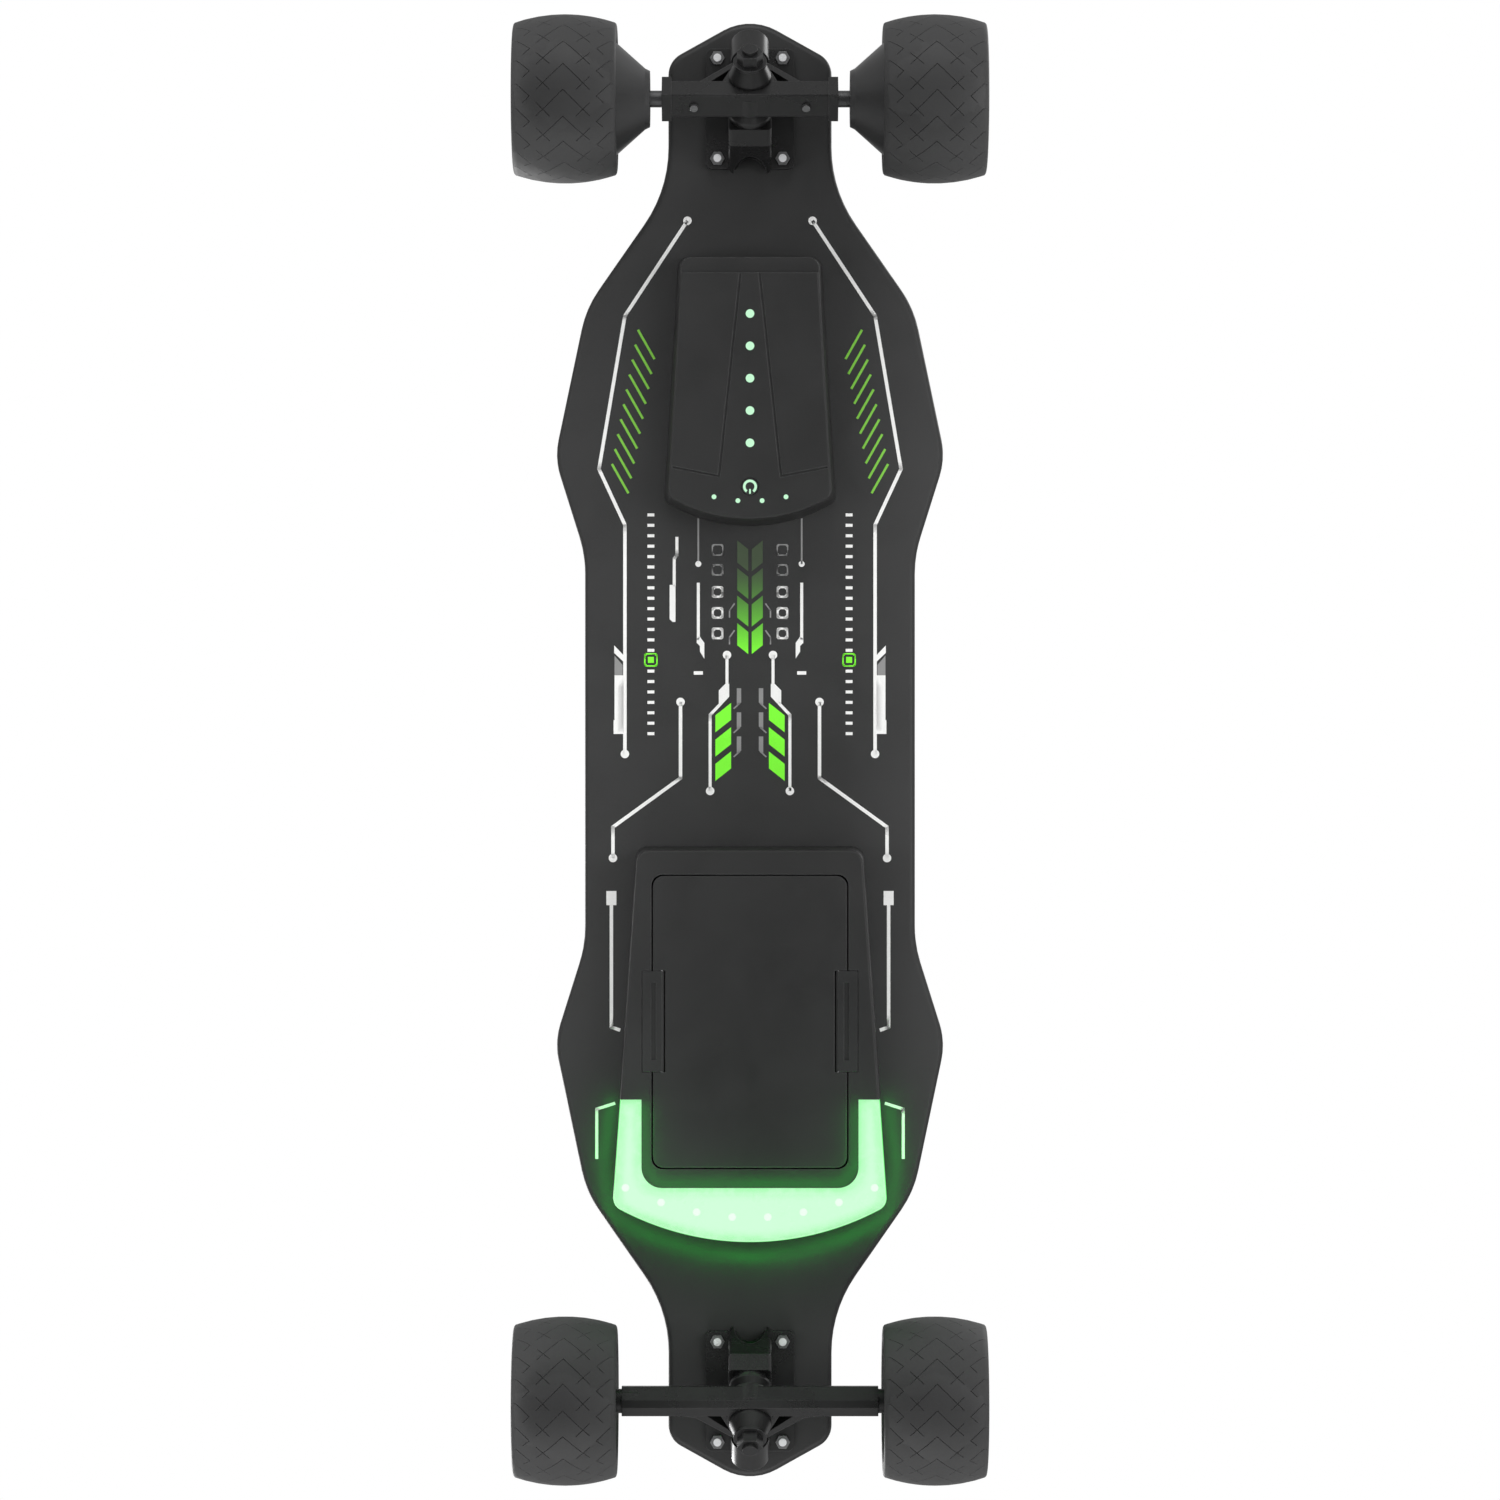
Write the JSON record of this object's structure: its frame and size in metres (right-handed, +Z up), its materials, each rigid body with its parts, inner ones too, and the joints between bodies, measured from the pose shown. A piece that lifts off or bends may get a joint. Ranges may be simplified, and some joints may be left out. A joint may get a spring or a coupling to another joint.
{
  "type": "electric skateboard",
  "caption": "Long electric skateboard deck on two leaning trucks, with hub-drive rear wheels, spoked front wheels, a control box, a light bar and a pull-out battery pack.",
  "frame": {"origin": "On the ground under the middle of the board.", "axes": "X across the board, Y along it with the motor end at +Y, Z up."},
  "size_m": [0.295, 0.9226, 0.1302],
  "materials": {
    "composite_deck": "smooth moulded composite",
    "grip": "coarse grit with smooth printed shapes",
    "satin_metal": "satin with bright edges",
    "bolt_steel": "machined",
    "nut_steel": "plain plated",
    "cast_metal": "cast and coated dark",
    "urethane": "smooth moulded urethane",
    "shaft_steel": "ground",
    "tyre_rubber": "grooved tread",
    "bearing_steel": "polished shield",
    "core_plastic": "fine moulded grain",
    "motor_metal": "turned and anodised dark",
    "cap_metal": "turned and anodised dark",
    "magnet": "nickel plated",
    "core_iron": "stacked sheets",
    "box_plastic": "fine moulded grain with printed lines",
    "lamp_lens": "frosted and lit",
    "button_plastic": "smooth with printed ring",
    "circuit_board": "coated board",
    "black_parts": "moulded",
    "light_chip": "clear resin, lit",
    "latch_metal": "matte black coat",
    "cell_wrap": "shrink sleeve",
    "seal_rubber": "soft closed foam"
  },
  "bodies": {
    "board": {"deck": "composite_deck", "grip_tape": "grip", "front_top_plate": "satin_metal", "rear_top_plate": "satin_metal", "plate_screws": "bolt_steel", "truck_bolts": "bolt_steel", "truck_nuts": "nut_steel", "box_screws": "bolt_steel", "front_baseplate": "cast_metal", "rear_baseplate": "cast_metal", "front_bushings": "urethane", "rear_bushings": "urethane", "kingpins": "bolt_steel", "kingpin_nuts": "nut_steel", "bushing_washers": "nut_steel", "pivot_cups": "urethane", "controller_box": "box_plastic", "charge_lights": "lamp_lens", "mode_lights": "lamp_lens", "controller_board": "circuit_board", "power_switches": "black_parts", "battery_box": "box_plastic", "light_lens": "lamp_lens", "light_board": "circuit_board", "light_chips": "light_chip", "box_gaskets": "seal_rubber"},
    "front_truck": {"front_hanger": "cast_metal", "front_axle": "shaft_steel", "front_axle_nuts": "nut_steel"},
    "rear_truck": {"rear_hanger": "cast_metal", "motor_shafts": "shaft_steel", "shaft_set_screws": "nut_steel", "rear_left_stator": "core_iron", "rear_right_stator": "core_iron"},
    "power_button": {"power_button": "button_plastic"},
    "battery_pack": {"pack_case": "box_plastic", "pack_cover": "box_plastic", "latch_pins": "bolt_steel", "battery_cells": "cell_wrap", "battery_guard_board": "circuit_board"},
    "left_latch": {"left_latch": "latch_metal"},
    "right_latch": {"right_latch": "latch_metal"},
    "front_left_wheel": {"front_left_tyre": "tyre_rubber", "front_left_core": "core_plastic", "front_left_bearings": "bearing_steel"},
    "rear_left_wheel": {"rear_left_tyre": "tyre_rubber", "rear_left_motor_can": "motor_metal", "rear_left_magnets": "magnet", "rear_left_end_bell": "motor_metal", "rear_left_cap": "cap_metal", "rear_left_bearings": "bearing_steel"},
    "front_right_wheel": {"front_right_tyre": "tyre_rubber", "front_right_core": "core_plastic", "front_right_bearings": "bearing_steel"},
    "rear_right_wheel": {"rear_right_tyre": "tyre_rubber", "rear_right_motor_can": "motor_metal", "rear_right_magnets": "magnet", "rear_right_end_bell": "motor_metal", "rear_right_cap": "cap_metal", "rear_right_bearings": "bearing_steel"}
  },
  "joints": [
    {"name": "front_steer", "type": "hinge", "parent": "board", "child": "front_truck", "pos_m": [0, -0.4062, 0.0525], "axis": [0, -0.7071, 0.7071], "range_deg": [-12, 12], "stiffness_Nm_per_rad": 60, "deforming": ["front_bushings"]},
    {"name": "rear_steer", "type": "hinge", "parent": "board", "child": "rear_truck", "pos_m": [0, 0.4062, 0.0525], "axis": [0, 0.7071, 0.7071], "range_deg": [-12, 12], "stiffness_Nm_per_rad": 60, "deforming": ["rear_bushings"]},
    {"name": "front_left_spin", "type": "hinge", "parent": "front_truck", "child": "front_left_wheel", "pos_m": [0.1152, -0.4062, 0.0525], "axis": [1, 0, 0], "continuous": true},
    {"name": "rear_left_spin", "type": "hinge", "parent": "rear_truck", "child": "rear_left_wheel", "pos_m": [0.1152, 0.4062, 0.0525], "axis": [1, 0, 0], "continuous": true},
    {"name": "front_right_spin", "type": "hinge", "parent": "front_truck", "child": "front_right_wheel", "pos_m": [-0.1152, -0.4062, 0.0525], "axis": [1, 0, 0], "continuous": true},
    {"name": "rear_right_spin", "type": "hinge", "parent": "rear_truck", "child": "rear_right_wheel", "pos_m": [-0.1152, 0.4062, 0.0525], "axis": [1, 0, 0], "continuous": true},
    {"name": "button_press", "type": "slide", "parent": "board", "child": "power_button", "axis": [0, 0, 1], "range_m": [0, 0.0012], "stiffness_N_per_m": 600},
    {"name": "pack_slide", "type": "slide", "parent": "board", "child": "battery_pack", "axis": [0, 0, -1], "range_m": [0, 0.046]},
    {"name": "left_latch_turn", "type": "hinge", "parent": "battery_pack", "child": "left_latch", "pos_m": [0.0552, -0.17, 0.0673], "axis": [0, 1, 0], "range_deg": [0, 80]},
    {"name": "right_latch_turn", "type": "hinge", "parent": "battery_pack", "child": "right_latch", "pos_m": [-0.0552, -0.17, 0.0673], "axis": [0, -1, 0], "range_deg": [0, 80]}
  ]
}
